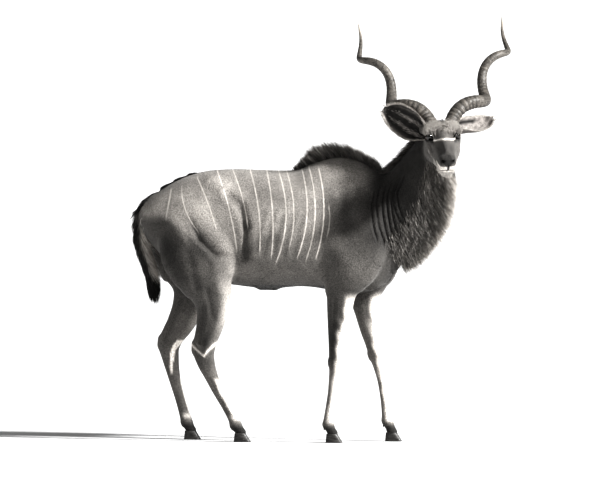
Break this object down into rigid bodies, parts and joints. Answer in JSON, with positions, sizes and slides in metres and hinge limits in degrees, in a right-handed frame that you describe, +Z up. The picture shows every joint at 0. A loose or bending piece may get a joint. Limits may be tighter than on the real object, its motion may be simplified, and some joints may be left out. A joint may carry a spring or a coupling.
{
  "type": "greater kudu",
  "caption": "Standing greater kudu bull, life size, head turned to its right, with long spiral horns, throat ruff and striped flank.",
  "frame": {"origin": "on the ground under the middle of the whole outline", "axes": "+X forward along the body, +Y to the animal's left, +Z up"},
  "size_m": [1.8659, 0.9455, 2.1212],
  "materials": {
    "coat": "short sleek grey-brown hair with thin white stripes",
    "mane": "longer dark hair with pale tips",
    "face": "very short dark hair with a white mark between the eyes and white lips",
    "leg": "very short grey-brown hair with dark patches",
    "horn": "dull horn with cross ridges, worn smooth towards the tips",
    "hoof": "dark horn, slightly glossy",
    "eye": "wet dark brown"
  },
  "bodies": {
    "root": {"ear_left": "coat", "ear_right": "coat", "eye_left": "eye", "eye_right": "eye", "fore_left_cannon": "leg", "fore_left_forearm": "leg", "fore_left_hoof_left": "hoof", "fore_left_hoof_right": "hoof", "fore_left_pastern": "leg", "fore_left_upper_arm": "coat", "fore_right_cannon": "leg", "fore_right_forearm": "leg", "fore_right_hoof_left": "hoof", "fore_right_hoof_right": "hoof", "fore_right_pastern": "leg", "fore_right_upper_arm": "coat", "head": "face", "hind_left_cannon": "leg", "hind_left_gaskin": "leg", "hind_left_hoof_left": "hoof", "hind_left_hoof_right": "hoof", "hind_left_pastern": "leg", "hind_left_thigh": "coat", "hind_right_cannon": "leg", "hind_right_gaskin": "leg", "hind_right_hoof_left": "hoof", "hind_right_hoof_right": "hoof", "hind_right_pastern": "leg", "hind_right_thigh": "coat", "horn_left_base": "horn", "horn_left_middle": "horn", "horn_left_tip": "horn", "horn_right_base": "horn", "horn_right_middle": "horn", "horn_right_tip": "horn", "neck": "mane", "tail": "mane", "torso": "coat"}
  },
  "joints": []
}
